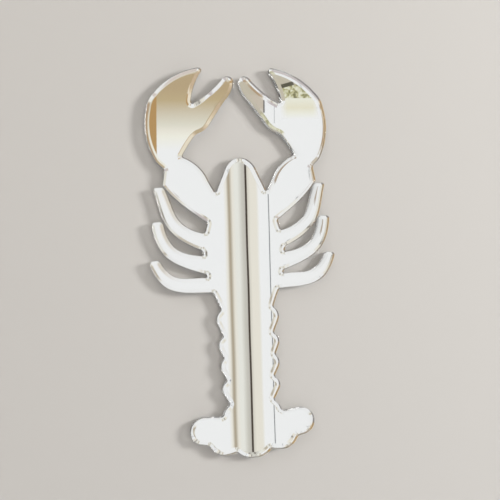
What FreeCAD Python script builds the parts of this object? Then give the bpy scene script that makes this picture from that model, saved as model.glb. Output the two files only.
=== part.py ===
"""Lobster-shaped wall mirror: a flat plate of mirrored acrylic, laser-cut to a lobster's outline and stuck to
a wall by double-sided foam pads.

Row frame, in millimetres: +Z runs up the wall from the tail fan to the claws, +X is to the right of someone
looking at the mirror, and +Y points into the wall. The origin is on the wall, in the middle of the pad behind
the thorax, half-way up the lobster, so the whole object lies at Y <= 0 and its face looks along -Y.

From the wall outwards: pad adhesive, pad foam, pad adhesive, backing lacquer, mirror coating, acrylic sheet.
"""

import FreeCAD
import Part
import os

Vector = FreeCAD.Vector

# ---- Driving dimensions -------------------------------------------------------------------------------------
SHEET_THICKNESS = 3.0
COATING_THICKNESS = 0.05
LACQUER_THICKNESS = 0.10
PAD_LENGTH = 24.0
PAD_WIDTH = 12.0
PAD_CORNER_RADIUS = 0.6
PAD_ADHESIVE_THICKNESS = 0.10
PAD_FOAM_THICKNESS = 1.30

# Where each layer ends, as a depth in front of the wall.
FOAM_BACK = PAD_ADHESIVE_THICKNESS
FOAM_FRONT = FOAM_BACK + PAD_FOAM_THICKNESS
LACQUER_BACK = FOAM_FRONT + PAD_ADHESIVE_THICKNESS
COATING_BACK = LACQUER_BACK + LACQUER_THICKNESS
SHEET_BACK = COATING_BACK + COATING_THICKNESS

# Pad name: centre (x, z) and the angle of its long side from upright, in degrees, turning to the right.
PADS = {
    "left_claw": ((-35.5, 71.5), 8.0),
    "right_claw": ((35.5, 71.5), -8.0),
    "head": ((0.0, 33.0), 0.0),
    "thorax": ((0.0, 0.0), 0.0),
    "tail": ((0.0, -46.0), 0.0),
    "fan": ((0.0, -87.0), 90.0),
}

# ---- The lobster's outline ----------------------------------------------------------------------------------
# The lobster is the same on both sides, so only its right half is drawn, from the tip of the head to the foot
# of the tail fan. Each function below draws one stretch and starts where the one before it ended.
#   line(end)            a straight edge
#   arc(through, end)    a round edge
#   corner(sharp, end)   a rounded corner, given by where its two edges would meet
#   curve(p, ..., end)   a smooth edge through the points
HEAD_TIP = (0.0, 53.8)
FAN_FOOT = (0.0, -99.9)


def line(end):
    return ("line", [end])


def arc(through, end):
    return ("arc", [through, end])


def corner(sharp, end):
    return ("corner", [sharp, end])


def curve(*points):
    return ("curve", list(points))


def head():
    """The blunt rostrum, down to the bottom of the notch beside it."""
    return [
        arc((2.6, 53.3), (4.9, 51.9)),
        arc((6.8, 50.1), (8.1, 47.7)),
        line((12.7, 37.5)),
        corner((13.5, 35.8), (14.5, 37.4)),
    ]


def arm_inside():
    """The arm's upper edge, out to the sharp corner at the wrist."""
    return [
        line((17.0, 42.1)),
        arc((20.9, 48.7), (29.0, 54.4)),
        corner((30.1, 55.0), (29.4, 56.2)),
    ]


def claw():
    """The palm's inner edge, the thumb, the gape, the upper finger and the palm's outer edge to the wrist."""
    palm_inside = [
        arc((26.6, 60.6), (23.4, 64.9)),
        corner((22.3, 66.2), (20.4, 66.8)),
        arc((16.8, 69.0), (14.1, 72.4)),
    ]
    thumb = [
        line((6.4, 83.0)),
        arc((3.1, 87.4), (1.5, 91.8)),
        arc((2.0, 94.3), (4.1, 95.6)),
        arc((6.1, 95.1), (7.8, 93.4)),
    ]
    gape = [
        arc((14.5, 87.1), (22.0, 82.2)),
        corner((23.9, 81.4), (23.9, 83.3)),
        arc((22.3, 89.8), (18.5, 97.2)),
    ]
    upper_finger = [
        arc((18.0, 99.0), (19.7, 99.9)),
        arc((33.0, 95.1), (42.3, 87.4)),
        arc((45.1, 83.8), (46.5, 79.4)),
        arc((47.5, 66.5), (43.3, 53.0)),
        arc((41.8, 51.3), (40.0, 49.7)),
    ]
    return palm_inside + thumb + gape + upper_finger


def arm_outside():
    """The short side below the wrist, then the arm's lower edge in to the first leg."""
    return [
        corner((38.9, 48.6), (39.3, 46.9)),
        line((40.2, 41.9)),
        corner((40.4, 40.8), (39.7, 40.1)),
        curve((33.4, 33.0), (26.2, 27.0), (19.3, 22.0)),
        corner((18.4, 21.3), (18.7, 20.3)),
    ]


def leg(inner_edge, tip, outer_edge):
    """One walking leg: inner edge out to the tip, the blunt tip with its two rounded corners, outer edge back."""
    inner_corner, top_start, top_end, outer_corner, outer_start = tip
    return [
        curve(*inner_edge),
        corner(inner_corner, top_start),
        line(top_end),
        corner(outer_corner, outer_start),
        curve(*outer_edge),
    ]


def legs():
    """Three legs, with the slot that leads in to the foot of each."""
    first = leg(
        [(27.2, 18.2), (32.5, 22.2), (36.1, 29.0), (39.3, 38.2)],
        [(39.8, 39.7), (41.0, 39.8), (43.7, 39.8), (45.0, 39.7), (44.9, 38.3)],
        [(42.6, 28.8), (39.1, 19.7), (32.2, 12.9), (23.4, 8.1)],
    )
    second = leg(
        [(29.5, 5.9), (35.3, 8.9), (39.1, 14.3), (41.0, 20.8)],
        [(41.4, 22.5), (42.6, 22.6), (45.3, 22.5), (46.8, 22.3), (46.8, 20.8)],
        [(45.1, 12.8), (41.4, 6.0), (34.5, 0.8), (21.8, -4.2)],
    )
    third = leg(
        [(28.5, -6.6), (35.3, -5.8), (40.1, -2.6), (43.3, 2.0)],
        [(44.1, 3.3), (45.4, 3.3), (47.4, 3.1), (48.9, 2.8), (48.7, 1.2)],
        [(46.3, -4.3), (41.9, -9.8), (35.9, -12.6), (26.5, -13.8), (18.6, -14.1)],
    )
    return (
        [line((19.6, 17.2)), corner((20.1, 15.6), (21.8, 16.1))]
        + first
        + [corner((21.5, 7.1), (21.5, 5.8)), corner((21.5, 4.2), (23.0, 4.5))]
        + second
        + [corner((20.1, -4.7), (20.1, -5.7)), corner((20.2, -6.7), (21.6, -6.7))]
        + third
    )


# Each plate of the tail: the point that its shoulder bulges through, where its shoulder ends, and the notch
# under it, all as (x, z).
TAIL_PLATES = [
    ((16.1, -26.7), (16.3, -29.5), (13.3, -36.7)),
    ((15.7, -40.2), (15.8, -42.5), (13.6, -48.0)),
    ((15.3, -51.3), (15.2, -53.8), (12.6, -59.3)),
    ((15.1, -62.9), (14.9, -65.3), (11.8, -71.4)),
]
NOTCH_RADIUS = 0.5


def tail():
    """The taper below the last leg, then one shoulder and one slope for each plate."""
    edges = [
        corner((17.6, -14.1), (17.0, -15.1)),
        arc((15.3, -18.8), (14.0, -22.3)),
    ]
    notch_x, notch_z = 13.8, -23.2
    for shoulder, shoulder_end, (next_x, next_z) in TAIL_PLATES:
        edges += [
            corner((notch_x - NOTCH_RADIUS / 2, notch_z), (notch_x + NOTCH_RADIUS, notch_z - 2 * NOTCH_RADIUS)),
            arc(shoulder, shoulder_end),
            line((next_x + NOTCH_RADIUS / 2, next_z + 2 * NOTCH_RADIUS)),
        ]
        notch_x, notch_z = next_x, next_z
    return edges + [
        corner((notch_x - NOTCH_RADIUS / 2, notch_z), (notch_x + NOTCH_RADIUS, notch_z - 2 * NOTCH_RADIUS)),
        arc((14.1, -74.2), (15.2, -76.6)),
    ]


def fan():
    """The tail fan: one large side lobe, a smaller one inside it, and half of the lobe at the foot."""
    return [
        corner((15.8, -77.8), (17.3, -77.8)),
        arc((21.4, -77.3), (25.6, -77.1)),
        arc((32.8, -83.6), (26.6, -90.7)),
        line((24.9, -91.1)),
        corner((23.5, -91.3), (22.7, -92.5)),
        arc((18.9, -96.3), (13.4, -97.0)),
        arc((11.8, -96.8), (10.3, -96.4)),
        corner((9.2, -96.1), (8.2, -96.9)),
        arc((4.4, -99.3), FAN_FOOT),
    ]


def on_wall(point):
    """An outline's (x, z) as a point on the wall."""
    return Vector(point[0], 0, point[1])


def edge(kind, start, points):
    """The Part edge of one stretch of the outline."""
    start = on_wall(start)
    points = [on_wall(p) for p in points]
    if kind == "line":
        return Part.LineSegment(start, points[0]).toShape()
    if kind == "arc":
        return Part.Arc(start, points[0], points[1]).toShape()
    if kind == "corner":
        sharp, end = points
        through = start * 0.25 + sharp * 0.5 + end * 0.25
        return Part.Arc(start, through, end).toShape()
    spline = Part.BSplineCurve()
    spline.interpolate([start] + points)
    return spline.toShape()


def lobster_face():
    """The whole outline as a face on the wall plane: the right half and its mirror image."""
    stretches = head() + arm_inside() + claw() + arm_outside() + legs() + tail() + fan()
    right = []
    start = HEAD_TIP
    for kind, points in stretches:
        right.append(edge(kind, start, points))
        start = points[-1]
    left = [e.mirror(Vector(0, 0, 0), Vector(1, 0, 0)) for e in right]
    wire = Part.Wire(Part.__sortEdges__(right + left))
    face = Part.Face(wire)
    if not (wire.isClosed() and face.isValid()):
        raise ValueError("the lobster's outline isn't a closed, simple loop")
    return face


def layer(face, back, thickness):
    """A face on the wall plane, thickened outwards from a depth in front of the wall."""
    moved = face.copy()
    moved.translate(Vector(0, -back, 0))
    return moved.extrude(Vector(0, -thickness, 0))


def pad_face():
    """An upright pad's outline at the origin: a rectangle with its corners just rounded."""
    block = Part.makeBox(PAD_WIDTH, 1, PAD_LENGTH, Vector(-PAD_WIDTH / 2, 0, -PAD_LENGTH / 2))
    upright = [e for e in block.Edges if abs(e.Vertexes[0].Y - e.Vertexes[1].Y) > 0.5]
    rounded = block.makeFillet(PAD_CORNER_RADIUS, upright)
    return min(rounded.Faces, key=lambda f: f.CenterOfMass.y)


def pad_layers(name, centre, angle):
    """One double-sided foam pad: the foam and the adhesive on each of its faces."""
    face = pad_face()
    face.rotate(Vector(0, 0, 0), Vector(0, 1, 0), angle)
    face.translate(on_wall(centre))
    return {
        f"{name}_pad_wall_adhesive": layer(face, 0.0, PAD_ADHESIVE_THICKNESS),
        f"{name}_pad_foam": layer(face, FOAM_BACK, PAD_FOAM_THICKNESS),
        f"{name}_pad_mirror_adhesive": layer(face, FOAM_FRONT, PAD_ADHESIVE_THICKNESS),
    }


def build():
    """Every node of the mirror, by name."""
    lobster = lobster_face()
    nodes = {
        "acrylic_sheet": layer(lobster, SHEET_BACK, SHEET_THICKNESS),
        "mirror_coating": layer(lobster, COATING_BACK, COATING_THICKNESS),
        "backing_lacquer": layer(lobster, LACQUER_BACK, LACQUER_THICKNESS),
    }
    for name, (centre, angle) in PADS.items():
        nodes.update(pad_layers(name, centre, angle))
    return nodes


def main():
    os.makedirs("parts", exist_ok=True)
    for name, shape in build().items():
        solid = shape.Solids[0]
        box = solid.BoundBox
        print(f"{name:32s} {solid.Volume:10.2f} mm3  X {box.XMin:7.2f}..{box.XMax:6.2f}"
              f"  Y {box.YMin:6.2f}..{box.YMax:5.2f}  Z {box.ZMin:8.2f}..{box.ZMax:7.2f}")
        solid.exportStep(f"parts/{name}.step")


main()
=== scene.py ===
"""Looks for the lobster-shaped wall mirror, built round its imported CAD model.

Frame, in metres: +X to the right of someone looking at the mirror, +Y into the wall, +Z up. The wall is at
Y = 0.

The acrylic sheet and the foam of the six pads are remade as detailed meshes from their CAD nodes' outlines.
The other layers keep their CAD shapes and get their materials here.
"""

import math
import random

import bpy
from mathutils import Matrix, Quaternion, Vector, geometry
from mathutils.kdtree import KDTree


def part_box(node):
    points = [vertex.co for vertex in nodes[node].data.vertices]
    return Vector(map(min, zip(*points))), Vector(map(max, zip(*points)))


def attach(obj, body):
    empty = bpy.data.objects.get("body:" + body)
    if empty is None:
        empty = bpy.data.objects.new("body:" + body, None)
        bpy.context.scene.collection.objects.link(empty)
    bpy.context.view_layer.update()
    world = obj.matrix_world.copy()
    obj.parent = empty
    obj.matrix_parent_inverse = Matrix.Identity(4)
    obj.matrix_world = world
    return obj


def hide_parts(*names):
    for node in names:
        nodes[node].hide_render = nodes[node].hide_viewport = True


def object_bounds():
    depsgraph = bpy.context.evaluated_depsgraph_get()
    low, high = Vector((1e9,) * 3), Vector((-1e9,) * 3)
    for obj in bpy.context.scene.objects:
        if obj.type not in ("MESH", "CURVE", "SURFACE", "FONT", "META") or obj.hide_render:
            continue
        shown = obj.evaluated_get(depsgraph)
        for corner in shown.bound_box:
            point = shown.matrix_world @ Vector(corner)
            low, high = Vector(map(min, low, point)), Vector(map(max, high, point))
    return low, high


MM = 0.001
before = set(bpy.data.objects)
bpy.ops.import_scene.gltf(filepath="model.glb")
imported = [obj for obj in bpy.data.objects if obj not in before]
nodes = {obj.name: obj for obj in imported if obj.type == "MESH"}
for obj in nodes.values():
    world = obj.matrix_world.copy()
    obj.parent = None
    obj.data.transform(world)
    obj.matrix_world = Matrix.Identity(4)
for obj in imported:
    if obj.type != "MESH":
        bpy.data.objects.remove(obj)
cad_low, cad_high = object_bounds()
PAD_NAMES = ["left_claw", "right_claw", "head", "thorax", "tail", "fan"]

# ---- The camera's place, which the studio's flats also use -------------------------------------------
LOOK_AT = Vector((2.65 * MM, cad_low.y, 6.35 * MM))
CAMERA_DISTANCE = 0.400
CAMERA_AZIMUTH = math.radians(-15.1)
CAMERA_ROLL = math.radians(-3.0)
CAMERA_LENS = 56.2
CAMERA_BACK = Vector((math.sin(CAMERA_AZIMUTH), -math.cos(CAMERA_AZIMUTH), 0.0))
CAMERA_PLACE = LOOK_AT + CAMERA_BACK * CAMERA_DISTANCE

# ---- Outlines ----------------------------------------------------------------------------------------
# How far from a plate's front a vertex still counts as on it, and the decimal places, in metres, to which
# two vertices have to agree to be one.
FRONT_SLACK = 0.001 * MM
MERGE_DIGITS = 8
# In mm, the distance under which the triangulation merges points.
MERGE_DISTANCE = 1e-7


def front_outline(node):
    """The outline of a CAD plate's front face: (x, z) points in order, anticlockwise seen from the front."""
    mesh = nodes[node].data
    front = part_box(node)[0].y
    place = {}
    for vertex in mesh.vertices:
        if vertex.co.y < front + FRONT_SLACK:
            place[vertex.index] = (round(vertex.co.x, MERGE_DIGITS), round(vertex.co.z, MERGE_DIGITS))
    faces_on_side = {}
    for face in mesh.polygons:
        corners = list(face.vertices)
        if not all(i in place for i in corners):
            continue
        for a, b in zip(corners, corners[1:] + corners[:1]):
            side = frozenset((place[a], place[b]))
            faces_on_side[side] = faces_on_side.get(side, 0) + 1
    beside = {}
    for side, count in faces_on_side.items():
        if count == 1 and len(side) == 2:
            a, b = side
            beside.setdefault(a, []).append(b)
            beside.setdefault(b, []).append(a)
    start = min(beside)
    points, last, here = [start], None, start
    while True:
        ahead = [p for p in beside[here] if p != last]
        last, here = here, ahead[0]
        if here == start:
            break
        points.append(here)
    if signed_area(points) < 0:
        points.reverse()
    return [Vector(p) for p in points]


def signed_area(points):
    return sum(a[0] * b[1] - b[0] * a[1] for a, b in zip(points, points[1:] + points[:1])) / 2


def even_points(points, step):
    """A closed smooth curve through the points (a centripetal Catmull-Rom spline), cut into even steps of
    about `step`."""
    even = []
    count = len(points)
    for i in range(count):
        p0, p1, p2, p3 = (points[(i + k) % count] for k in (-1, 0, 1, 2))
        t1 = math.sqrt((p1 - p0).length)
        t2 = t1 + math.sqrt((p2 - p1).length)
        t3 = t2 + math.sqrt((p3 - p2).length)
        cuts = max(1, round((p2 - p1).length / step))
        for k in range(cuts):
            t = t1 + (t2 - t1) * k / cuts
            a1 = p0 * ((t1 - t) / t1) + p1 * (t / t1)
            a2 = p1 * ((t2 - t) / (t2 - t1)) + p2 * ((t - t1) / (t2 - t1))
            a3 = p2 * ((t3 - t) / (t3 - t2)) + p3 * ((t - t2) / (t3 - t2))
            b1 = a1 * ((t2 - t) / t2) + a2 * (t / t2)
            b2 = a2 * ((t3 - t) / (t3 - t1)) + a3 * ((t - t1) / (t3 - t1))
            even.append(b1 * ((t2 - t) / (t2 - t1)) + b2 * ((t - t1) / (t2 - t1)))
    return thin_out(even, step / 2)


def thin_out(points, least):
    """The points without any that is nearer than `least` to the one kept before it."""
    kept = [points[0]]
    for p in points[1:]:
        if (p - kept[-1]).length >= least:
            kept.append(p)
    return kept


def outward(points):
    """The unit vector that points out of an anticlockwise outline, at each of its points."""
    normals = []
    for a, b in zip(points[-1:] + points[:-1], points[1:] + points[:1]):
        along = (b - a).normalized()
        normals.append(Vector((along.y, -along.x)))
    return normals


def inner_grid(ring, spacing):
    """Grid points inside a closed ring, off its edge by a third of the spacing or more, left to right."""
    inside = []
    margin = spacing / 3
    row = math.ceil(min(p.y for p in ring) / spacing)
    while row * spacing < max(p.y for p in ring):
        z = (row + 0.5) * spacing
        crossings = sorted(
            a.x + (b.x - a.x) * (z - a.y) / (b.y - a.y)
            for a, b in zip(ring, ring[1:] + ring[:1])
            if (a.y > z) != (b.y > z)
        )
        for left, right in zip(crossings[::2], crossings[1::2]):
            column = math.ceil((left + margin) / spacing)
            while column * spacing < right - margin:
                inside.append(Vector((column * spacing, z)))
                column += 1
        row += 1
    return inside


def fill(ring, inner, links=()):
    """Triangles over the area of a closed ring, and the points inside it. Links are pairs of inner points
    whose joining line the triangles keep to; where two of them cross, a point is added."""
    count = len(ring)
    inner = list(inner)
    flat = [p / MM for p in ring + inner]
    edges = [(i, (i + 1) % count) for i in range(count)] + [(count + a, count + b) for a, b in links]
    found, _, faces, origin, _, _ = geometry.delaunay_2d_cdt(flat, edges, [], 1, MERGE_DISTANCE)
    number = []
    for p, before in zip(found, origin):
        if before:
            number.append(before[0])
        else:
            number.append(count + len(inner))
            inner.append(p * MM)
    return [[number[i] for i in face] for face in faces], inner


def new_piece(name, points, faces, material_of_face, materials):
    """A smooth-shaded mesh object in the scene."""
    mesh = bpy.data.meshes.new(name)
    mesh.from_pydata(points, [], faces)
    for material in materials:
        mesh.materials.append(material)
    mesh.polygons.foreach_set("material_index", material_of_face)
    mesh.polygons.foreach_set("use_smooth", [True] * len(faces))
    mesh.update()
    piece = bpy.data.objects.new(name, mesh)
    bpy.context.scene.collection.objects.link(piece)
    return piece


# ---- The acrylic sheet -------------------------------------------------------------------------------
OUTLINE_STEP = 0.30 * MM
GRID_STEP = 3.0 * MM
GRID_CLEARANCE = 0.5 * MM
BEVEL_WIDTH = 1.9 * MM
BEVEL_ANGLE = math.radians(8)
CREASE = 0.06 * MM
BEVEL_RINGS = [0.7 * MM, 1.3 * MM, BEVEL_WIDTH - CREASE, BEVEL_WIDTH + CREASE]
EDGE_ROUNDING = 0.10 * MM
EDGE_STEPS = 4
# The lines where two bevels meet: the room that other points leave them, how near the next point on a line
# may be, how far off it may be and still be joined, and how far inside the outline such a line starts.
MITRE_STEP = 0.16 * MM
MITRE_NEAREST = MITRE_STEP / 4
MITRE_FARTHEST = 5 * MITRE_STEP
MITRE_LEAST_REACH = 3 * EDGE_ROUNDING
REACH_SLACK = 0.006 * MM
SIDE_LEVELS = [0.15, 0.4, 0.65, 0.88]
KERF_TAPER = 0.05 * MM
BACK_CHAMFER = 0.03 * MM
BURNT_WIDTH = 0.14 * MM
GAP_TO_COATING = 0.01 * MM
STRIATION_DEPTH = 0.006 * MM
STRIATION_AT_TOP = 0.4
STRIATION_SEED = 7
# Each wave of the sheet: height, length, direction and phase.
SHEET_WAVES = [
    (0.0016 * MM, 74 * MM, 1.25, 0.4),
    (0.0009 * MM, 39 * MM, 1.80, 2.1),
    (0.0004 * MM, 21 * MM, 0.35, 4.0),
]
# How far towards its face's middle a corner is moved to find the side of a crease that it belongs to.
INTO_FACE = 0.12
SLOT_FACE, SLOT_BEVEL, SLOT_EDGE, SLOT_SILVER, SLOT_BURNT = range(5)


def sheet_wave(x, z):
    """How far the sheet isn't flat at a point, and its slope there: cast acrylic waves by a few
    thousandths of a mm."""
    height, slope_x, slope_z = 0.0, 0.0, 0.0
    for size, length, angle, start in SHEET_WAVES:
        turn = 2 * math.pi / length
        across, up = math.cos(angle), math.sin(angle)
        phase = turn * (x * across + z * up) + start
        height += size * math.sin(phase)
        slope_x += size * turn * across * math.cos(phase)
        slope_z += size * turn * up * math.cos(phase)
    return height, slope_x, slope_z


def striations(count):
    """Smooth uneven ridges round the cut edge, from 0 to 1, one value a point."""
    source = random.Random(STRIATION_SEED)
    raw = [source.random() for _ in range(count)]
    return [(raw[i - 1] + 2 * raw[i] + raw[(i + 1) % count]) / 4 for i in range(count)]


class Rim:
    """An outline that tells how far inside it a point is, and which way the nearest stretch of it faces."""

    def __init__(self, outline):
        self.outline = outline
        self.faces = outward(outline)
        self.tree = KDTree(len(outline))
        for i, p in enumerate(outline):
            self.tree.insert((p.x, p.y, 0.0), i)
        self.tree.balance()

    def nearest(self, p):
        """The distance from p to the outline, and the smooth outward direction at the nearest place."""
        _, i, _ = self.tree.find((p.x, p.y, 0.0))
        count = len(self.outline)
        best = None
        for j in (i - 1, i):
            a, b = self.outline[j], self.outline[(j + 1) % count]
            share = min(1.0, max(0.0, (p - a).dot(b - a) / (b - a).length_squared))
            distance = (p - a.lerp(b, share)).length
            if best is None or distance < best[0]:
                best = (distance, self.faces[j].lerp(self.faces[(j + 1) % count], share).normalized())
        return best

    def reach(self, i, limit):
        """How far one can go in from outline point i before another stretch of the outline is nearer, and
        the outline point there. The point is None where nothing gets nearer within the limit."""
        start, inward = self.outline[i], -self.faces[i]

        def blocked(depth):
            return self.nearest(start + inward * depth)[0] < depth - REACH_SLACK

        if not blocked(limit):
            return limit, None
        low_depth, high_depth = 0.0, limit
        while high_depth - low_depth > REACH_SLACK:
            middle = (low_depth + high_depth) / 2
            if blocked(middle):
                high_depth = middle
            else:
                low_depth = middle
        beyond = start + inward * (high_depth + REACH_SLACK)
        return low_depth, self.tree.find((beyond.x, beyond.y, 0.0))[1]


def bevel_shape(depth):
    """The drop of the front at a depth inside the edge, and its slope: a flat bevel with a soft crease."""
    slope = math.tan(BEVEL_ANGLE)
    if depth >= BEVEL_WIDTH + CREASE:
        return 0.0, 0.0
    if depth <= BEVEL_WIDTH - CREASE:
        return slope * (BEVEL_WIDTH - depth), slope
    share = (BEVEL_WIDTH + CREASE - depth) / (2 * CREASE)
    return slope * CREASE * share * share, slope * share


def rounding_turn(step):
    """How far the rounded edge has turned from the front's normal, at one of its steps."""
    return BEVEL_ANGLE + (math.pi / 2 - BEVEL_ANGLE) * step / EDGE_STEPS


def edge_profile(front, back):
    """The rings round the sheet's edge, from the bevel to the back's rim: each one's inset, its y and how
    much of the striations it has."""
    rings = []
    for step in range(EDGE_STEPS + 1):
        turn = rounding_turn(step)
        inset = EDGE_ROUNDING * (1 - math.sin(turn))
        if step == 0:
            bevel_drop = bevel_shape(inset)[0]
        drop = bevel_drop + EDGE_ROUNDING * (math.cos(BEVEL_ANGLE) - math.cos(turn))
        rings.append((inset, front + drop, 0.0))
    top, foot = front + drop, back - BACK_CHAMFER
    for level in SIDE_LEVELS:
        ridged = STRIATION_AT_TOP + (1 - STRIATION_AT_TOP) * level
        rings.append((KERF_TAPER * level, top + (foot - top) * level, ridged))
    rings.append((KERF_TAPER, foot, 1.0))
    rings.append((KERF_TAPER + BACK_CHAMFER, back, 0.0))
    rings.append((KERF_TAPER + BACK_CHAMFER + BURNT_WIDTH, back, 0.0))
    return rings


def front_points(rim):
    """Points for the front face, inside the edge's rounding: the bevel's rings, the lines where two bevels
    meet and a coarse grid. The second result pairs the points that follow each other on such a line."""
    count = len(rim.outline)
    limit = BEVEL_WIDTH + CREASE + 2 * MITRE_STEP
    reaches = [rim.reach(i, limit) for i in range(count)]
    points, links = [], []
    last = None
    for i, (p, out, (reach, partner)) in enumerate(zip(rim.outline, rim.faces, reaches)):
        first_side = partner is not None and 0 < (partner - i) % count < count / 2
        if not (first_side and reach > MITRE_LEAST_REACH):
            last = None
            continue
        spot = p - out * reach
        if last is not None and (spot - points[last]).length < MITRE_NEAREST:
            continue
        points.append(spot)
        if last is not None and (spot - points[last]).length < MITRE_FARTHEST:
            links.append((last, len(points) - 1))
        last = len(points) - 1
    for depth in BEVEL_RINGS:
        for p, out, (reach, _) in zip(rim.outline, rim.faces, reaches):
            if reach > depth + MITRE_STEP:
                points.append(p - out * depth)
    grid = inner_grid(rim.outline, GRID_STEP)
    points += [p for p in grid if rim.nearest(p)[0] > limit + GRID_CLEARANCE]
    return points, links


def make_sheet(materials):
    """The clear acrylic: a bevelled front, a laser-cut side, and a back that wears the mirror's silver."""
    low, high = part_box("acrylic_sheet")
    front = low.y + sum(wave[0] for wave in SHEET_WAVES)
    back = high.y - GAP_TO_COATING
    rim = Rim(even_points(front_outline("acrylic_sheet"), OUTLINE_STEP))
    count = len(rim.outline)
    ridges = striations(count)
    points, faces, slots = [], [], []

    def place(flat, y):
        points.append((flat.x, y + sheet_wave(flat.x, flat.y)[0], flat.y))

    # The rounded edge, the side and the back's rim.
    profile = edge_profile(front, back)
    for inset, y, ridged in profile:
        for flat, out, ridge in zip(rim.outline, rim.faces, ridges):
            place(flat - out * (inset + ridged * STRIATION_DEPTH * ridge), y)
    last_ring = len(profile) - 1
    for r in range(last_ring):
        for i in range(count):
            j = (i + 1) % count
            faces.append((r * count + i, (r + 1) * count + i, (r + 1) * count + j, r * count + j))
            slots.append(SLOT_BURNT if r == last_ring - 1 else SLOT_BEVEL if r < EDGE_STEPS else SLOT_EDGE)

    # The front and the back: the ring each one fills, its material slot, its inner points and the links
    # between them, and the order of its triangles' corners.
    front_inner, front_links = front_points(rim)
    back_inner = inner_grid(rim.outline, GRID_STEP)
    covers = (
        (0, SLOT_FACE, front_inner, front_links, 1),
        (last_ring, SLOT_SILVER, back_inner, (), -1),
    )
    for r, slot, inner, links, order in covers:
        edge = [Vector((p[0], p[2])) for p in points[r * count:(r + 1) * count]]
        triangles, inner = fill(edge, inner, links)
        first_inner = len(points)
        for flat in inner:
            place(flat, front + bevel_shape(rim.nearest(flat)[0])[0] if slot == SLOT_FACE else back)
        for triangle in triangles:
            corners = [r * count + i if i < count else first_inner + i - count for i in triangle]
            faces.append(corners[::order])
            middle = sum((Vector((points[i][0], points[i][2])) for i in corners), Vector((0, 0))) / 3
            on_bevel = slot == SLOT_FACE and rim.nearest(middle)[0] < BEVEL_WIDTH
            slots.append(SLOT_BEVEL if on_bevel else slot)

    piece = new_piece("acrylic_lobster", points, faces, slots, materials)
    piece.data.normals_split_custom_set(sheet_normals(piece.data, rim, ridges))
    return piece


def sheet_normals(mesh, rim, ridges):
    """The exact normal of each face corner. A corner on a crease takes the one of its own side."""
    count = len(rim.outline)
    normals = []
    ridge_slopes = [
        STRIATION_DEPTH * (ridges[(i + 1) % count] - ridges[i - 1]) / (2 * OUTLINE_STEP) for i in range(count)
    ]
    for face in mesh.polygons:
        middle = Vector((face.center.x, face.center.z))
        for corner in face.vertices:
            spot = mesh.vertices[corner].co
            flat = Vector((spot.x, spot.z))
            _, slope_x, slope_z = sheet_wave(spot.x, spot.z)
            if face.material_index == SLOT_EDGE:
                out = rim.faces[corner % count]
                along = Vector((-out.y, out.x))
                leaned = (out + along * ridge_slopes[corner % count]).normalized()
                normals.append((leaned.x, 0.0, leaned.y))
            elif face.material_index in (SLOT_SILVER, SLOT_BURNT):
                normals.append(Vector((-slope_x, 1.0, -slope_z)).normalized())
            elif len(face.vertices) == 4:
                turn = rounding_turn(corner // count)
                out = rim.faces[corner % count]
                normals.append((out.x * math.sin(turn), -math.cos(turn), out.y * math.sin(turn)))
            else:
                depth, out = rim.nearest(flat.lerp(middle, INTO_FACE))
                slope = bevel_shape(rim.nearest(flat)[0])[1] if depth < BEVEL_WIDTH else 0.0
                tilted = Vector((slope * out.x + slope_x, -1.0, slope * out.y + slope_z))
                normals.append(tilted.normalized())
    return normals


# ---- The pads' foam ----------------------------------------------------------------------------------
FOAM_STEP = 0.30 * MM
FOAM_GRID = 2.0 * MM
FOAM_LAYERS = 6
FOAM_GAP = 0.01 * MM
FOAM_BULGE = 0.16 * MM
FOAM_CELL = 0.05 * MM
FOAM_SHARP_ANGLE = math.radians(50)


def make_foam(name, seed, material):
    """One pad's foam: its cut sides bulge a little between the two adhesives and are rough with opened
    cells."""
    node = f"{name}_pad_foam"
    low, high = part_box(node)
    outline = even_points(front_outline(node), FOAM_STEP)
    facing = outward(outline)
    count = len(outline)
    source = random.Random(seed)
    points, faces = [], []
    front, back = low.y + FOAM_GAP, high.y - FOAM_GAP
    for layer in range(FOAM_LAYERS + 1):
        level = layer / FOAM_LAYERS
        pulled_in = FOAM_BULGE * (2 * level - 1) ** 2
        for flat, out in zip(outline, facing):
            inset = pulled_in + FOAM_CELL * source.random()
            points.append((flat.x - out.x * inset, front + (back - front) * level, flat.y - out.y * inset))
    for layer in range(FOAM_LAYERS):
        for i in range(count):
            j = (i + 1) % count
            base = layer * count
            faces.append((base + i, base + count + i, base + count + j, base + j))
    for layer in (0, FOAM_LAYERS):
        ring = [Vector((p[0], p[2])) for p in points[layer * count:(layer + 1) * count]]
        triangles, inner = fill(ring, inner_grid(ring, FOAM_GRID))
        first_inner = len(points)
        points += [(p.x, points[layer * count][1], p.y) for p in inner]
        for triangle in triangles:
            corners = [layer * count + i if i < count else first_inner + i - count for i in triangle]
            faces.append(corners if layer == 0 else corners[::-1])
    piece = new_piece(f"{name}_foam_block", points, faces, [0] * len(faces), [material])
    piece.data.set_sharp_from_angle(angle=FOAM_SHARP_ANGLE)
    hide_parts(node)
    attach(piece, "root")


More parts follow.
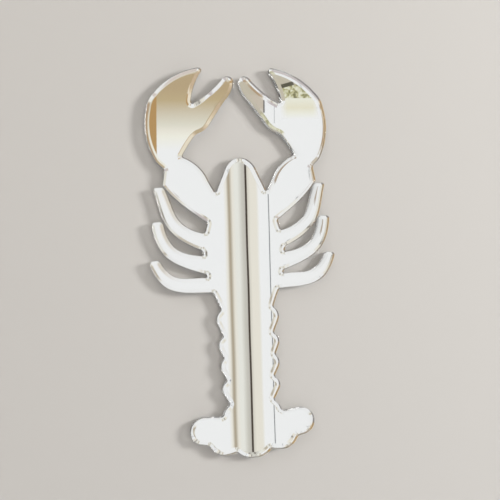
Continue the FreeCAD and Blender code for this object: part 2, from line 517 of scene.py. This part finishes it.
# ---- Materials ---------------------------------------------------------------------------------------
class MaterialNodes:
    """A material's node tree, written with short calls."""

    def __init__(self, name):
        self.material = bpy.data.materials.new(name)
        self.material.use_nodes = True
        self.tree = self.material.node_tree
        self.tree.nodes.clear()
        self.output = self.tree.nodes.new("ShaderNodeOutputMaterial")
        self.place = self.tree.nodes.new("ShaderNodeTexCoord").outputs["Object"]

    def feed(self, socket, value):
        """Links a socket to an output, or gives it a plain value."""
        if isinstance(value, bpy.types.NodeSocket):
            self.tree.links.new(value, socket)
        else:
            socket.default_value = value

    def add(self, kind, inputs=None, **settings):
        node = self.tree.nodes.new(kind)
        for key, value in settings.items():
            setattr(node, key, value)
        for key, value in (inputs or {}).items():
            self.feed(node.inputs[key], value)
        return node

    def scaled(self, stretch, size):
        """The object's own coordinates, in features of about `size` metres."""
        scale = [part / size for part in stretch]
        return self.add("ShaderNodeMapping", {"Vector": self.place, "Scale": scale}).outputs[0]

    def noise(self, size, detail=2.0, stretch=(1, 1, 1), roughness=0.5):
        """Noise whose features are about `size` metres across, from 0 to 1."""
        inputs = {"Vector": self.scaled(stretch, size), "Scale": 1.0,
                  "Detail": detail, "Roughness": roughness}
        return self.add("ShaderNodeTexNoise", inputs).outputs["Fac"]

    def cells(self, size):
        """Distance to the middle of the nearest of cells about `size` metres across."""
        inputs = {"Vector": self.scaled((1, 1, 1), size), "Scale": 1.0}
        return self.add("ShaderNodeTexVoronoi", inputs).outputs["Distance"]

    def remap(self, value, from_low, from_high, to_low, to_high):
        inputs = {"Value": value, "From Min": from_low, "From Max": from_high,
                  "To Min": to_low, "To Max": to_high}
        return self.add("ShaderNodeMapRange", inputs).outputs["Result"]

    def mix(self, factor, first, second, **settings):
        """Mixes two colours. These socket numbers are the colour sockets of Blender's mix node."""
        node = self.add("ShaderNodeMix", data_type="RGBA", **settings)
        for number, value in ((0, factor), (6, first), (7, second)):
            self.feed(node.inputs[number], value)
        return node.outputs[2]

    def math(self, operation, first, second):
        return self.add("ShaderNodeMath", {0: first, 1: second}, operation=operation).outputs[0]

    def bump(self, height, distance, strength):
        inputs = {"Height": height, "Distance": distance, "Strength": strength}
        return self.add("ShaderNodeBump", inputs).outputs["Normal"]

    def end(self, shader):
        """Ends the tree in a shader."""
        self.tree.links.new(shader, self.output.inputs["Surface"])
        return self.material

    def surface(self, **inputs):
        """Ends the tree in one Principled shader."""
        named = {key.replace("_", " "): value for key, value in inputs.items()}
        return self.end(self.add("ShaderNodeBsdfPrincipled", named).outputs[0])


ACRYLIC_IOR = 1.491
ACRYLIC_TINT = (0.985, 0.995, 0.99, 1)
ADHESIVE_IOR = 1.47
FOAM_CELL_SIZE = 0.34 * MM


def clear_acrylic(m, rough, **more):
    return m.surface(Base_Color=ACRYLIC_TINT, Roughness=rough, IOR=ACRYLIC_IOR, Transmission_Weight=1.0,
                     **more)


def acrylic_face():
    """The polished front: clear, with the faintest wiped smears."""
    m = MaterialNodes("acrylic_face")
    smears = m.noise(9 * MM, detail=4, stretch=(1, 1, 0.35))
    fine = m.noise(0.7 * MM, stretch=(1, 1, 0.2))
    return clear_acrylic(m, m.remap(m.math("MULTIPLY", smears, fine), 0.22, 0.50, 0.0, 0.022))


def acrylic_bevel():
    """The bevel: cut and then polished by hand, so it keeps a slight haze that softens what it shows."""
    m = MaterialNodes("acrylic_bevel")
    haze = m.noise(5 * MM, detail=3)
    return clear_acrylic(m, m.remap(haze, 0.35, 0.70, 0.030, 0.055))


def acrylic_edge():
    """The laser-cut side: melted glossy, with fine lines from front to back and a little haze."""
    m = MaterialNodes("acrylic_edge")
    lines = m.noise(0.25 * MM, stretch=(1, 0.06, 1))
    haze = m.noise(2.5 * MM, detail=3)
    rough = m.remap(haze, 0.35, 0.75, 0.05, 0.20)
    return clear_acrylic(m, rough, Normal=m.bump(lines, STRIATION_DEPTH, 0.7))


def silver():
    """The aluminium film as seen through the sheet."""
    m = MaterialNodes("silver_film")
    tone = m.mix(m.noise(25 * MM), (0.930, 0.935, 0.940, 1), (0.950, 0.952, 0.950, 1))
    rough = m.remap(m.noise(0.5 * MM, detail=3), 0.55, 0.80, 0.004, 0.02)
    return m.surface(Base_Color=tone, Metallic=1.0, Roughness=rough)


def burnt_film():
    """The thin line along the cut where the laser has dulled the film."""
    m = MaterialNodes("burnt_film_edge")
    tone = m.mix(m.noise(0.8 * MM, detail=3), (0.30, 0.28, 0.26, 1), (0.62, 0.60, 0.58, 1))
    return m.surface(Base_Color=tone, Metallic=0.7, Roughness=0.45)


def coating():
    """The film's own node, of which only the thin edge shows."""
    m = MaterialNodes("mirror_coating_film")
    grain = m.noise(0.4 * MM, detail=3)
    rough = m.remap(grain, 0.3, 0.7, 0.10, 0.28)
    tone = m.mix(grain, (0.86, 0.87, 0.88, 1), (0.93, 0.93, 0.94, 1))
    return m.surface(Base_Color=tone, Metallic=1.0, Roughness=rough)


def lacquer():
    """Sprayed grey lacquer: orange peel, fine speckle, a few pale scuffs and hairline scratches."""
    m = MaterialNodes("grey_backing_lacquer")
    peel = m.noise(1.3 * MM, roughness=0.35)
    speckle = m.noise(0.28 * MM, detail=3)
    cloud = m.noise(22 * MM, detail=3)
    base = m.mix(m.remap(cloud, 0.35, 0.65, 0.0, 1.0), (0.175, 0.180, 0.188, 1), (0.265, 0.270, 0.278, 1))
    dots = m.remap(speckle, 0.58, 0.72, 0.0, 0.5)
    speckled = m.mix(dots, base, (0.42, 0.43, 0.44, 1))
    hairlines = m.remap(m.noise(0.22 * MM, detail=1, stretch=(1, 1, 0.012)), 0.70, 0.76, 0.0, 1.0)
    handled = m.remap(m.noise(30 * MM), 0.50, 0.62, 0.0, 1.0)
    scratch = m.math("MULTIPLY", hairlines, handled)
    scuffed = m.mix(m.math("MULTIPLY", scratch, 0.7), speckled, (0.50, 0.51, 0.53, 1))
    rough = m.math("ADD", m.remap(cloud, 0.3, 0.7, 0.38, 0.50), m.math("MULTIPLY", scratch, 0.2))
    sprayed = m.math("ADD", peel, m.math("MULTIPLY", speckle, 0.18))
    height = m.math("SUBTRACT", sprayed, m.math("MULTIPLY", scratch, 0.25))
    return m.surface(Base_Color=scuffed, Roughness=rough, Normal=m.bump(height, 0.03 * MM, 0.8))


def foam_cells(m):
    """From 0 in the middle of a foam cell to 1 at the wall between cells."""
    return m.remap(m.cells(FOAM_CELL_SIZE), 0.15, 0.65, 0.0, 1.0)


def foam():
    """White closed-cell polyethylene foam, with its cells opened where it was cut. Its colour carries painted
    shade: darker in the hollow middle of each cell, lighter on the raised walls between cells.
    """
    m = MaterialNodes("white_pe_foam")
    walls = foam_cells(m)
    # Painted shade: the colour darkens in each cell's hollow middle, where the bump sinks the surface.
    tone = m.mix(walls, (0.72, 0.72, 0.70, 1), (0.93, 0.93, 0.92, 1))
    height = m.math("ADD", walls, m.math("MULTIPLY", m.noise(0.1 * MM), 0.3))
    return m.surface(Base_Color=tone, Roughness=0.75, Subsurface_Weight=0.15,
                     Subsurface_Radius=(0.6 * MM, 0.6 * MM, 0.55 * MM), Subsurface_Scale=1.0,
                     Sheen_Weight=0.15, Normal=m.bump(height, 0.09 * MM, 0.9))


def adhesive():
    """Tacky clear adhesive over the white foam: glossy where it has wetted out, with small trapped bubbles.
    The foam seen under it carries painted shade, darker in the middle of each cell."""
    m = MaterialNodes("pad_adhesive")
    patches = m.remap(m.noise(2.2 * MM, detail=4), 0.42, 0.56, 0.0, 1.0)
    bubbles = m.remap(m.cells(0.9 * MM), 0.10, 0.24, 1.0, 0.0)
    # Painted shade: the foam under the adhesive is darker in the middle of each cell than on its walls.
    under = m.mix(foam_cells(m), (0.74, 0.73, 0.69, 1), (0.87, 0.86, 0.82, 1))
    tone = m.mix(m.math("MULTIPLY", patches, 0.35), under, (0.76, 0.74, 0.67, 1))
    rough = m.math("ADD", m.remap(patches, 0.0, 1.0, 0.34, 0.12), m.math("MULTIPLY", bubbles, 0.15))
    ripples = m.math("MULTIPLY", m.noise(0.8 * MM), 0.5)
    height = m.math("ADD", m.math("MULTIPLY", bubbles, 0.6), ripples)
    return m.surface(Base_Color=tone, Roughness=rough, IOR=ADHESIVE_IOR, Coat_Weight=0.35,
                     Coat_Roughness=0.12, Normal=m.bump(height, 0.02 * MM, 0.8))


# ---- The object --------------------------------------------------------------------------------------
def paint(node, material):
    """Gives a CAD node its material, keeping its shape."""
    for slot in nodes[node].material_slots:
        slot.material = material


def build_object():
    sheet = make_sheet([acrylic_face(), acrylic_bevel(), acrylic_edge(), silver(), burnt_film()])
    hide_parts("acrylic_sheet")
    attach(sheet, "root")
    paint("mirror_coating", coating())
    paint("backing_lacquer", lacquer())
    sticky, white = adhesive(), foam()
    for seed, name in enumerate(PAD_NAMES):
        paint(f"{name}_pad_wall_adhesive", sticky)
        paint(f"{name}_pad_mirror_adhesive", sticky)
        make_foam(name, seed, white)


# ---- The studio --------------------------------------------------------------------------------------
FLOOR_DROP = 1.0
FLOOR_HALF = 3.0
WALL_HALF = 2.5
WALL_TOP = 1.5
WALL_GAP = 0.05 * MM
CARD_DISTANCE = 1.2


def flat_card(name, left, right, low, high, material):
    """An upright rectangle facing +Y, in the studio and not part of the object."""
    mesh = bpy.data.meshes.new(name)
    mesh.from_pydata([(left, 0, low), (left, 0, high), (right, 0, high), (right, 0, low)], [], [(0, 1, 2, 3)])
    mesh.materials.append(material)
    card = bpy.data.objects.new(name, mesh)
    bpy.context.scene.collection.objects.link(card)
    return card


def hang_in_reflection(card, pivot, nearer, lean):
    """Puts a card behind the camera so that the main view sees it, in the mirror, at the card's own x and
    z. It leans to the right about the pivot."""
    distance = CARD_DISTANCE - nearer
    growth = 1 + distance / -CAMERA_PLACE.y
    turn = Matrix.Rotation(lean, 3, "Y")
    card.scale = (growth, 1, growth)
    card.rotation_euler = (0, lean, 0)
    eye = Vector((CAMERA_PLACE.x, 0, CAMERA_PLACE.z))
    card.location = eye * (1 - growth) + (pivot - turn @ pivot) * growth
    card.location.y = -distance
    card.visible_camera = False
    card.visible_shadow = False


def finish_glow(m, colour, soft=None):
    """Ends a tree in an emitter. `soft` is (left, right, low, high, width) in mm: it fades out over that
    width towards those edges."""
    shader = m.add("ShaderNodeEmission", {"Color": colour, "Strength": 1.0}).outputs[0]
    if soft:
        left, right, low, high, width = (value * MM for value in soft)
        parts = m.add("ShaderNodeSeparateXYZ", {0: m.place}).outputs
        shown = 1.0
        for axis, start, end in (("X", left, right), ("Z", low, high)):
            rise = m.remap(parts[axis], start, start + width, 0.0, 1.0)
            fall = m.remap(parts[axis], end - width, end, 1.0, 0.0)
            shown = m.math("MULTIPLY", shown, m.math("MULTIPLY", rise, fall))
        clear = m.add("ShaderNodeBsdfTransparent").outputs[0]
        shader = m.add("ShaderNodeMixShader", {0: shown, 1: clear, 2: shader}).outputs[0]
    return m.end(shader)


def glow(name, colour, soft=None):
    """An emitter of one colour."""
    return finish_glow(MaterialNodes(name), (*colour, 1), soft)


def ramp_along(m, stops, axis):
    """A colour that runs through the stops, (place in mm, (r, g, b)), along the card's own x or z."""
    parts = m.add("ShaderNodeSeparateXYZ", {0: m.place})
    first, last = stops[0][0] * MM, stops[-1][0] * MM
    along = m.remap(parts.outputs[axis], first, last, 0.0, 1.0)
    ramp = m.add("ShaderNodeValToRGB", {"Fac": along})
    elements = ramp.color_ramp.elements
    while len(elements) < len(stops):
        elements.new(0.5)
    for element, (where, colour) in zip(elements, stops):
        element.position = (where * MM - first) / (last - first)
        element.color = (*colour, 1)
    return ramp.outputs["Color"]


def glow_bands(name, across=None, up=None, soft=None):
    """An emitter whose colour runs along x, along z, or both multiplied."""
    m = MaterialNodes(name)
    colour = ramp_along(m, across or up, "X" if across else "Z")
    if across and up:
        colour = m.mix(1.0, colour, ramp_along(m, up, "Z"), blend_type="MULTIPLY")
    return finish_glow(m, colour, soft)


def leafy_glow(name, soft):
    """An emitter mottled like leaves against a bright window."""
    m = MaterialNodes(name)
    blots = m.noise(2.6 * MM, detail=3, roughness=0.65)
    leaves = m.mix(m.remap(blots, 0.40, 0.49, 0.0, 1.0), (0.22, 0.21, 0.12, 1), (0.52, 0.49, 0.27, 1))
    colour = m.mix(m.remap(blots, 0.49, 0.58, 0.0, 1.0), leaves, (0.80, 0.79, 0.64, 1))
    return finish_glow(m, colour, soft)


WHITE = (0.90, 0.90, 0.90)
IVORY = (0.83, 0.79, 0.70)
PALE = (0.83, 0.82, 0.76)
GREY = (0.55, 0.52, 0.47)
BEIGE = (0.45, 0.39, 0.30)
DARK = (0.065, 0.05, 0.04)
SLATE = (0.15, 0.16, 0.17)
TAN = (0.50, 0.385, 0.235)
DEEP_TAN = (0.44, 0.31, 0.19)
ORANGE_TAN = (0.48, 0.30, 0.13)
BROWN_TAN = (0.74, 0.45, 0.13)
SAND = (0.58, 0.44, 0.30)
SHADE = (0.42, 0.34, 0.27)
DUSK = (0.38, 0.35, 0.37)
STONE = (0.56, 0.51, 0.41)
ROSE_BEIGE = (0.66, 0.57, 0.52)
LILAC = (0.56, 0.49, 0.49)
PATCH = (0.60, 0.53, 0.44)
CREAM = (0.82, 0.78, 0.62)
SKY = (0.85, 0.86, 0.88)
FAR_WALL = (0.44, 0.44, 0.45)
RAIL_BROWN = (0.12, 0.11, 0.08)
BAR_BLACK = (0.12, 0.11, 0.11)
BAR_GREY = (0.40, 0.41, 0.42)
CURTAIN_LEAN = math.radians(1.4)
STRIP_LEAN = math.radians(3.0)
SHADE_LEAN = math.radians(-8)
RAIL_LEAN = math.radians(-15)

# The room's colours, each at its place in mm. In the flat of the mirror the main view sees the room from
# x = -48 to 48 and z = -100 to 100. The bevels see up to 45 mm further. The cut side, mirrored inside the
# sheet, sees the part near x = -180 to -140, or the low corner where it faces up and to the right.
ROOM_ACROSS = [
    (-450, (0.55, 0.54, 0.52)), (-330, (0.50, 0.48, 0.46)), (-318, WHITE), (-278, WHITE),
    (-266, (0.50, 0.47, 0.43)), (-230, (0.50, 0.42, 0.32)), (-190, BROWN_TAN), (-135, BROWN_TAN),
    (-118, (0.56, 0.52, 0.46)), (-98, (0.62, 0.55, 0.46)), (-80, (0.69, 0.63, 0.54)),
    (-62, (0.86, 0.84, 0.81)), (-50, WHITE), (48, WHITE), (75, (0.76, 0.76, 0.75)),
    (110, (0.60, 0.60, 0.59)), (180, (0.50, 0.50, 0.50)), (260, FAR_WALL), (272, SKY), (312, SKY),
    (324, FAR_WALL), (420, (0.48, 0.48, 0.48)),
]
ROOM_UP = [(-240, (0.55, 0.54, 0.53)), (-115, (1, 1, 1)), (180, (1, 1, 1)), (360, (0.6, 0.6, 0.6))]
BODY_BANDS = [
    (-10.7, WHITE), (-9.1, IVORY), (-8.1, BEIGE), (-7.4, BEIGE), (-6.1, IVORY), (-4.5, PALE), (-3.1, PALE),
    (-0.9, (0.62, 0.60, 0.54)), (0.7, GREY), (0.9, DARK), (1.7, DARK), (2.0, (0.70, 0.66, 0.58)),
    (3.5, IVORY), (6.7, IVORY), (8.1, WHITE), (13.05, WHITE), (13.15, SLATE), (13.50, SLATE),
    (13.60, WHITE), (16.5, WHITE),
]
CLAW_FADE = [
    (58.5, WHITE), (65.5, (0.90, 0.88, 0.78)), (68.5, (0.85, 0.81, 0.71)), (71.6, (0.75, 0.72, 0.61)),
    (77.7, (0.65, 0.58, 0.45)), (84.0, (0.54, 0.43, 0.26)), (90.0, TAN), (150.0, TAN),
]
CORNER_FADE = [
    (54.0, CREAM), (95.0, (0.85, 0.76, 0.62)), (100.0, (0.74, 0.61, 0.43)), (105.0, SAND), (165.0, SAND),
]
GAP_FADE = [(50.0, (0.56, 0.49, 0.43)), (57.0, ROSE_BEIGE), (62.0, WHITE), (68.0, WHITE)]
PATCH_FADE = [(75.0, (0.86, 0.84, 0.80)), (80.0, PATCH), (85.5, PATCH)]
CREAM_FADE = [(74.0, WHITE), (77.0, (0.88, 0.87, 0.77)), (80.0, CREAM), (84.9, (0.86, 0.85, 0.74))]


def hang(name, edges, nearer, material, lean=0.0):
    """One glowing flat of the reflected room. Its edges are (left, right, low, high) in mm, and `nearer` is
    how many mm it hangs in front of the farthest flat."""
    left, right, low, high = edges
    card = flat_card(name, left * MM, right * MM, low * MM, high * MM, material)
    middle = Vector((left + right, 0, low + high)) * (MM / 2)
    hang_in_reflection(card, middle, nearer * MM, lean)


def build_reflected_room():
    """What the mirror shows in the main view: a bright room with upright bands, and darker corners at the
    top."""
    hang("room_light", (-450, 420, -240, 360), 0, glow_bands("room", ROOM_ACROSS, ROOM_UP))
    hang("low_corner", (-280, -70, -240, -22), 4, glow("low_corner", DUSK, (-280, -70, -240, -22, 16)))
    hang("gap_fade", (-19, 5.5, 50, 68), 5, glow_bands("gap_fade", up=GAP_FADE, soft=(-19, 5.5, 44, 68, 3)))
    hang("gap_lilac", (3, 18, 50, 72), 8, glow("gap_lilac", LILAC, (3, 18, 44, 72, 2.5)))
    hang("curtain_bands", (-10.7, 16.5, -108, 52.5), 12, glow_bands("curtain", BODY_BANDS), CURTAIN_LEAN)

    hang("left_fade", (-45, 0.6, 58, 150), 15, glow_bands("left_fade", up=CLAW_FADE))
    hang("between_claws", (-12, 0.4, 65, 83), 18, glow("between_claws", DEEP_TAN, (-12, 6, 65, 83, 4)))
    hang("left_corner", (-110, -43, 54, 165), 18,
         glow_bands("left_corner", up=CORNER_FADE, soft=(-110, -35, 54, 175, 8)))
    hang("left_strip", (-50, -41.7, 44, 92), 22, glow("left_strip", ORANGE_TAN), STRIP_LEAN)

    hang("shade_high", (40.3, 48.3, 8, 40), 18,
         glow("shade_high", SHADE, (40.3, 48.3, 8, 40, 1.5)), SHADE_LEAN)
    hang("right_corner", (1.5, 80, 84.9, 150), 15, glow("right_corner", STONE))
    hang("right_cream", (24, 46, 74, 84.9), 15,
         glow_bands("right_cream", up=CREAM_FADE, soft=(24, 46, 68, 95, 4)))
    hang("thumb_patch", (4, 14.9, 75, 86.5), 18,
         glow_bands("thumb_patch", up=PATCH_FADE, soft=(0, 18, 75, 100, 3)))
    hang("leaves", (23, 45, 84.9, 92.5), 20, leafy_glow("leaves", (23, 45, 84, 92.5, 1.2)))
    hang("blind_rail", (21.5, 32, 90.4, 92.4), 25, glow("blind_rail", RAIL_BROWN), RAIL_LEAN)
    hang("bar_near", (14.8, 15.5, 77.5, 86.5), 25, glow("bar_near", BAR_BLACK), STRIP_LEAN)
    hang("bar_far", (20.4, 20.7, 72, 82.5), 25, glow("bar_far", BAR_GREY), STRIP_LEAN)


def wall_paint():
    """Matte pale paint on the side that faces the room. The other side is clear."""
    m = MaterialNodes("pale_wall_paint")
    matte = m.add("ShaderNodeBsdfDiffuse", {"Color": (0.62, 0.62, 0.615, 1)}).outputs[0]
    clear = m.add("ShaderNodeBsdfTransparent").outputs[0]
    behind = m.add("ShaderNodeNewGeometry").outputs["Backfacing"]
    return m.end(m.add("ShaderNodeMixShader", {0: behind, 1: matte, 2: clear}).outputs[0])


def build_stage():
    """A pale one-sided wall for the mirror to hang on, and a pale floor. The wall's left and right are
    swapped, so that it faces the room."""
    wall = flat_card("wall", WALL_HALF, -WALL_HALF, -FLOOR_DROP, WALL_TOP, wall_paint())
    wall.location.y = WALL_GAP
    wall.visible_shadow = False

    floor_paint = MaterialNodes("pale_floor_paint").surface(Base_Color=(0.72, 0.72, 0.71, 1), Roughness=0.7)
    floor = flat_card("floor", -FLOOR_HALF, FLOOR_HALF, -FLOOR_HALF, FLOOR_HALF, floor_paint)
    floor.rotation_euler = (-math.pi / 2, 0, 0)
    floor.location.z = -FLOOR_DROP


def area_light(name, place, size, power, colour=(1, 1, 1)):
    """A round lamp that is aimed at the mirror's origin."""
    data = bpy.data.lights.new(name, "AREA")
    data.shape = "DISK"
    data.size = size
    data.energy = power
    data.color = colour
    light = bpy.data.objects.new(name, data)
    light.location = place
    light.rotation_euler = (-Vector(place)).to_track_quat("-Z", "Y").to_euler()
    bpy.context.scene.collection.objects.link(light)


def build_lights():
    area_light("key_right", (1.15, -0.75, 0.25), size=0.40, power=13.0, colour=(1.0, 0.96, 0.91))
    area_light("fill_above", (-0.5, -0.9, 1.3), size=1.0, power=4.0)
    area_light("behind", (-0.7, 1.0, 0.6), size=0.9, power=16.0)
    world = bpy.data.worlds.new("pale_studio")
    world.use_nodes = True
    sky = world.node_tree.nodes["Background"]
    sky.inputs["Color"].default_value = (0.80, 0.80, 0.80, 1)
    sky.inputs["Strength"].default_value = 0.55
    bpy.context.scene.world = world


def build_camera():
    data = bpy.data.cameras.new("camera")
    data.lens = CAMERA_LENS
    data.sensor_width = 36
    data.clip_start = 0.01
    data.clip_end = 50
    camera = bpy.data.objects.new("camera", data)
    camera.location = CAMERA_PLACE
    camera.rotation_mode = "QUATERNION"
    straight = (LOOK_AT - CAMERA_PLACE).to_track_quat("-Z", "Y")
    camera.rotation_quaternion = straight @ Quaternion((0, 0, 1), CAMERA_ROLL)
    bpy.context.scene.collection.objects.link(camera)
    bpy.context.scene.camera = camera


def set_view():
    """Plain colours, and light paths long enough for the many turns that light takes inside the sheet."""
    bpy.context.scene.view_settings.view_transform = "Standard"
    bpy.context.scene.view_settings.look = "None"
    light_paths = bpy.context.scene.cycles
    light_paths.max_bounces = 32
    light_paths.glossy_bounces = 24
    light_paths.transmission_bounces = 24


build_object()
build_stage()
build_reflected_room()
build_lights()
build_camera()
set_view()
